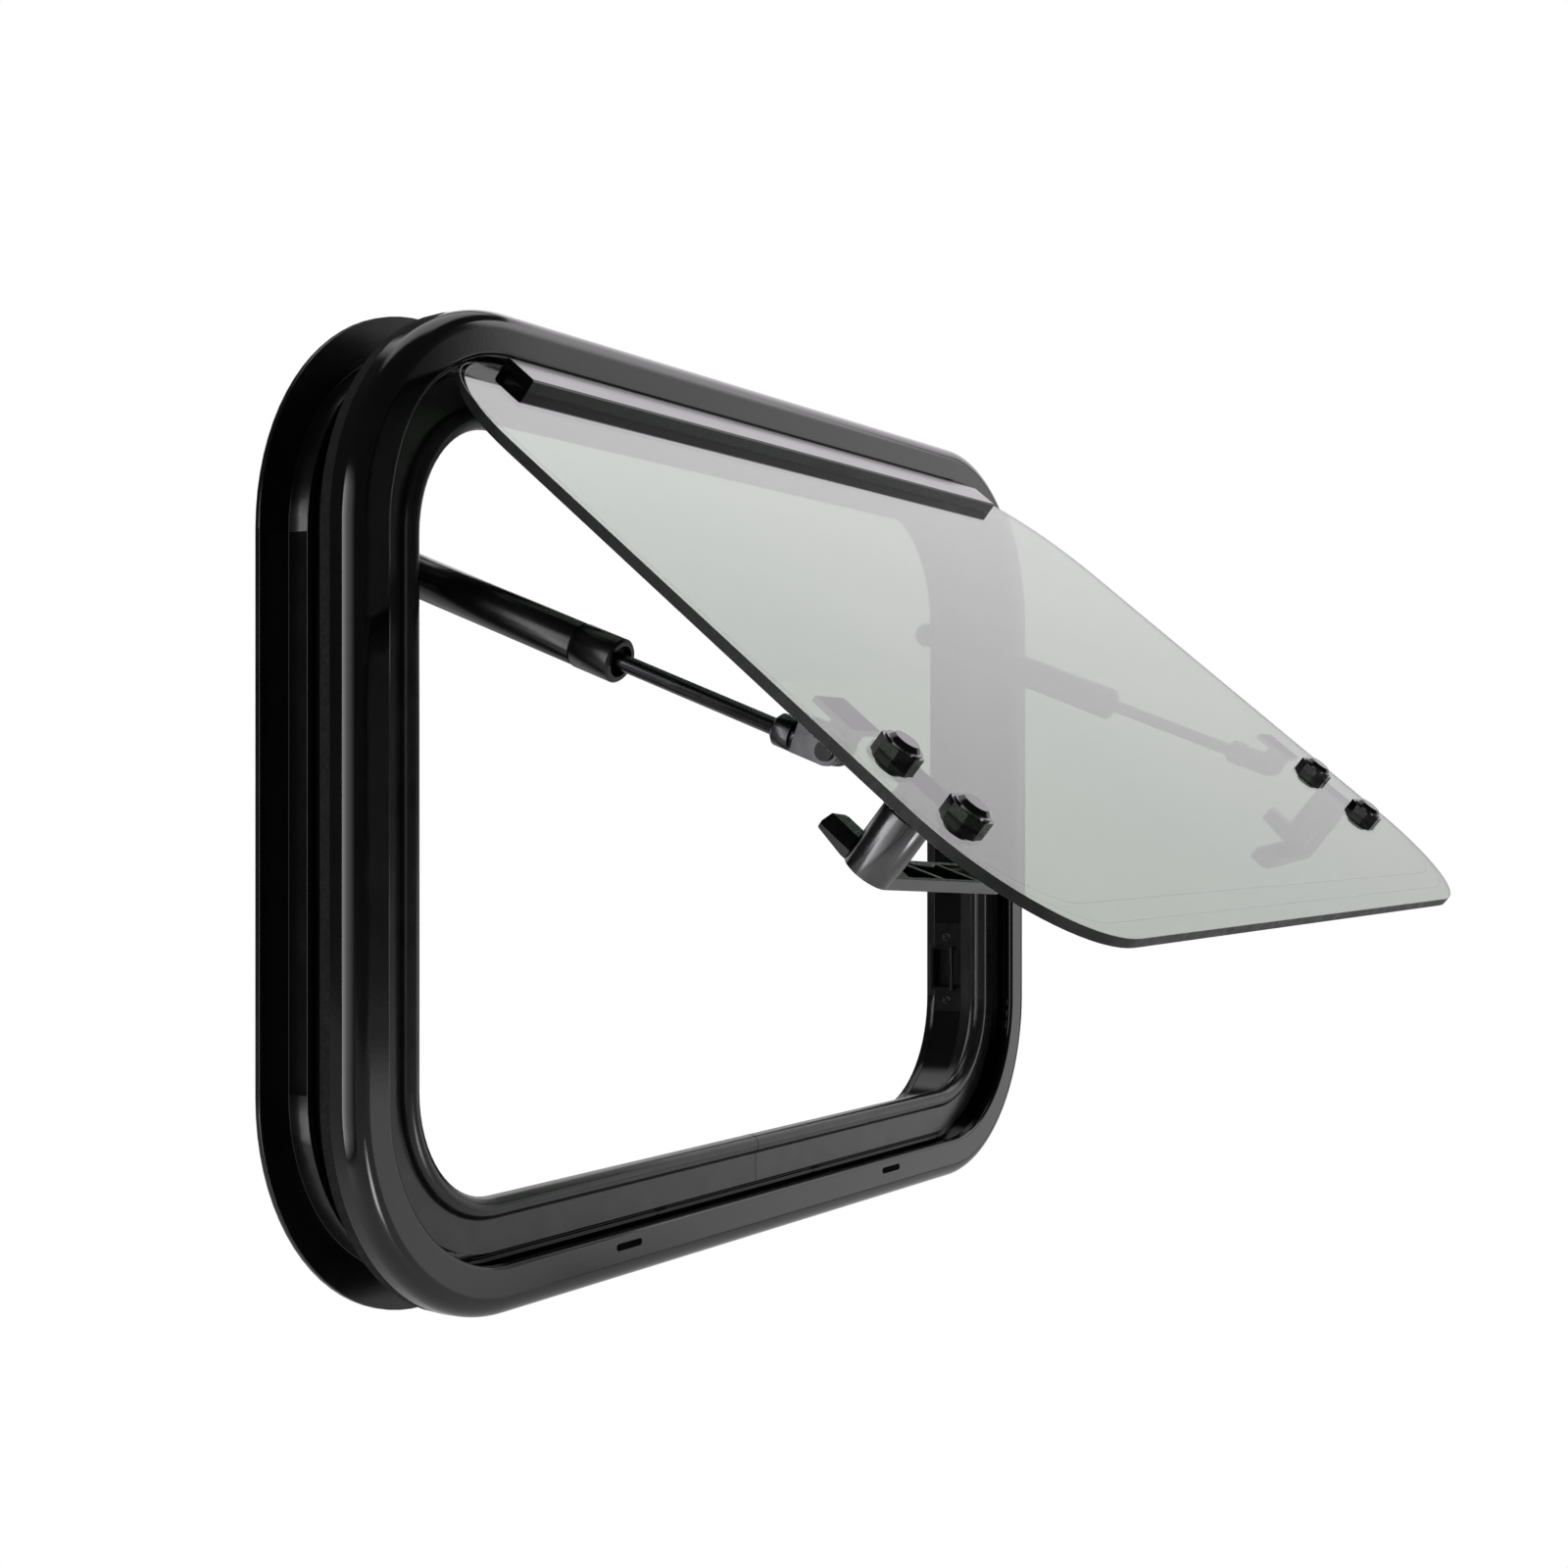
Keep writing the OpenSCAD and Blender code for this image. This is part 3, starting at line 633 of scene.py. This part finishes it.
# %% [markdown]
# ## The seal's joint
#
# The seal is one length of rubber, and its two ends meet in the middle of the
# sill. A butt joint like this shows as a fine dark line that follows the
# bulb's curve. A thin bead of glue is drawn there: the seal's outline, half a
# millimetre wide and hardly proud of the rubber. Such a bead is a narrow
# band with four points at each step of its path, and the pane's lines further
# on are bands of the same kind.

# %% Seal joint
def band_faces(steps, closed):
    """The faces of a band that has four points at each step of its path."""
    faces = []
    for k in range(steps if closed else steps - 1):
        a, b = 4 * k, 4 * ((k + 1) % steps)
        faces += [(a + 1, a + 3, b + 3, b + 1), (a, b, b + 2, a + 2),
                  (a, a + 1, b + 1, b), (a + 2, b + 2, b + 3, a + 3)]
    if not closed:
        last = 4 * steps - 4
        faces += [(0, 2, 3, 1), (last, last + 1, last + 3, last + 2)]
    return faces


BEAD_W, BEAD_ROOT = 0.45 * MM, -0.3 * MM


def seal_bead(name, x, path, height, material):
    """A narrow band across the sill at x.

    path has (in from the edge, out from the flange, and the way out of the rubber)."""
    points = [(x + side * BEAD_W / 2, -(p + up_p * lift + GASKET), -HEIGHT / 2 + q + up_q * lift)
              for q, p, up_q, up_p in path for side in (-1, 1) for lift in (BEAD_ROOT, height)]
    return add_mesh(name, points, band_faces(len(path), False), "frame", material)


glue = finish("seal_joint_glue", (0.0025, 0.0025, 0.0025), 0.5, IOR=1.4)
vary_roughness(glue, grain(glue, 1500), 0.4, 0.6)
BULB, BULB_R = (45.8 * MM, 1.4 * MM), 5.2 * MM
over_bulb = [(*place, *way) for place, way in zip(arc(BULB, BULB_R, -20, 170, 24),
                                                  arc((0, 0), 1, -20, 170, 24))]
over_wing = [(q * MM, 2.0 * MM, 0, 1) for q in (26.5, 33, 40.6)]
beads = [seal_bead("seal_joint_bulb", 0.6 * MM, over_bulb, 0.06 * MM, glue),
         seal_bead("seal_joint_wing", 5.3 * MM, over_wing, 0.05 * MM, glue)]
print("seal joint:", [bead.name for bead in beads])

# %% [markdown]
# ## Screws of the keepers
#
# Each keeper is held to the reveal by two screws, one in each plate. They
# are turned parts, so they are lathed: a half profile is spun round the
# screw's axis. The recess is left as a plain hollow.

# %% Keeper screws
def lathe(name, profile, centre, axis, body, material, steps=28):
    """Spins (radius, height) pairs round an axis through centre."""
    turn = Vector(axis).to_track_quat("Z", "Y").to_matrix()
    points = [Vector(centre) + turn @ Vector((r * math.cos(t), r * math.sin(t), h))
              for t in (2 * math.pi * k / steps for k in range(steps)) for r, h in profile]
    count = len(profile)
    starts = [k * count for k in range(steps)]
    faces = [(a + i, a + i + 1, b + i + 1, b + i)
             for a, b in zip(starts, starts[1:] + starts[:1]) for i in range(count - 1)]
    faces += [tuple(starts), tuple(a + count - 1 for a in reversed(starts))]
    return add_mesh(name, points, faces, body, material)


head = [(0.9 * MM, -0.6 * MM), (0.9 * MM, -0.1 * MM), (1.4 * MM, 0.1 * MM), (1.6 * MM, 0.55 * MM),
        (2.1 * MM, 0.75 * MM), (2.7 * MM, 0.5 * MM), (3.0 * MM, 0.0), (3.0 * MM, -0.6 * MM)]
SCREW_X, SCREW_Y = 281.5 * MM, 18.4 * MM
screws = [lathe(f"{side}_keeper_screw_{which}", head, (sign * SCREW_X, SCREW_Y, z),
                (-sign, 0, 0), "frame", gloss_plastic)
          for side, sign in (("left", -1), ("right", 1))
          for which, z in (("upper", -78.3 * MM), ("lower", -118.0 * MM))]
print("keeper screws:", len(screws))

# %% [markdown]
# ## The pane's rim and its painted glint lines
#
# Seen into its narrow side, a tinted sheet looks nearly black, because the
# light has a long way to go through the dye. A renderer that dyes light only
# at the surface can't show that, so the rim gets its own dark skin, just
# proud of the side face. The pane's face also carries two faint pale lines,
# painted highlights that stand for the glints off its edge. They run close to
# the edge at the sides and further in at the bottom, and are drawn as bands a
# third of a millimetre wide.

# %% Bands along the pane's outline
OPEN = math.radians(50.5)
HINGE = Vector((0, -6.0 * MM, 189.4 * MM))
pane_normal = Vector((0, -math.cos(OPEN), math.sin(OPEN)))
up_pane = Vector((0, math.sin(OPEN), math.cos(OPEN)))
PANE_W, PANE_TOP, PANE_LOW, PANE_R = 586 * MM, -6 * MM, -384 * MM, 75 * MM
PANE_BACK, PANE_FACE = 6.7 * MM, 11.2 * MM


def on_pane(x, a, e):
    """A point given across, up the pane from the hinge, and out from the hinge."""
    return HINGE + Vector((x, 0, 0)) + a * up_pane + e * pane_normal


def pane_outline(side, top, bottom, radius, steps=24):
    """The pane's outline, in from its edge by so much at the sides, top and bottom."""
    right, high, low = PANE_W / 2 - side, PANE_TOP - top, PANE_LOW + bottom
    corners = [(right - radius, high - radius), (radius - right, high - radius),
               (radius - right, low + radius), (right - radius, low + radius)]
    return [(x, a, math.radians(90 * (turn + k / steps)), radius)
            for turn, (x, a) in enumerate(corners) for k in range(steps + 1)]


def pane_band(name, outline, width, back, front, material):
    """A closed band along an outline, that wide and from depth back to front."""
    points = [on_pane(x + r * math.cos(t), a + r * math.sin(t), e)
              for x, a, t, radius in outline for r in (radius, radius - width)
              for e in (back, front)]
    band = add_mesh(name, points, band_faces(len(outline), True), "sash", material)
    return band


# %% Rim and painted glint lines
rim_black = finish("pane_rim", (0.01, 0.0115, 0.0105), 0.45, IOR=1.3)
vary_colour(rim_black, grain(rim_black, 120, 3), (0.007, 0.008, 0.0073), (0.014, 0.016, 0.0147))
vary_roughness(rim_black, grain(rim_black, 300, 3), 0.36, 0.52)
relief(rim_black, grain(rim_black, 1500, 2), 0.00001, 0.5)
PROUD = 0.04 * MM
bands = [pane_band("pane_rim", pane_outline(-PROUD, -PROUD, -PROUD, PANE_R + PROUD),
                   0.3 * MM, PANE_BACK + 0.1 * MM, PANE_FACE - 0.05 * MM, rim_black)]

# The pale lines are painted highlights: the glints of the pane's edge, drawn as pale bands on its
# face.
pale_line = finish("painted_glint_line", (0.8, 0.82, 0.81), 0.35, IOR=1.45, Alpha=0.22)
vary_roughness(pale_line, grain(pale_line, 400), 0.3, 0.45)
for number, side, bottom, radius in ((1, 4.5, 21, 55), (2, 2.6, 9.5, 64)):
    outline = pane_outline(side * MM, 4 * MM, bottom * MM, radius * MM)
    bands.append(pane_band(f"pane_line_{number}", outline, 0.35 * MM,
                           PANE_FACE - 0.05 * MM, PANE_FACE + 0.03 * MM, pale_line))
print("bands on the pane:", len(bands))

# %% [markdown]
# ## Material slots
#
# The record lists a few named finishes, its material slots. Each small piece
# says which of them its own finish belongs to.

# %% Slots of the small pieces
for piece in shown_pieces():
    name = piece.name
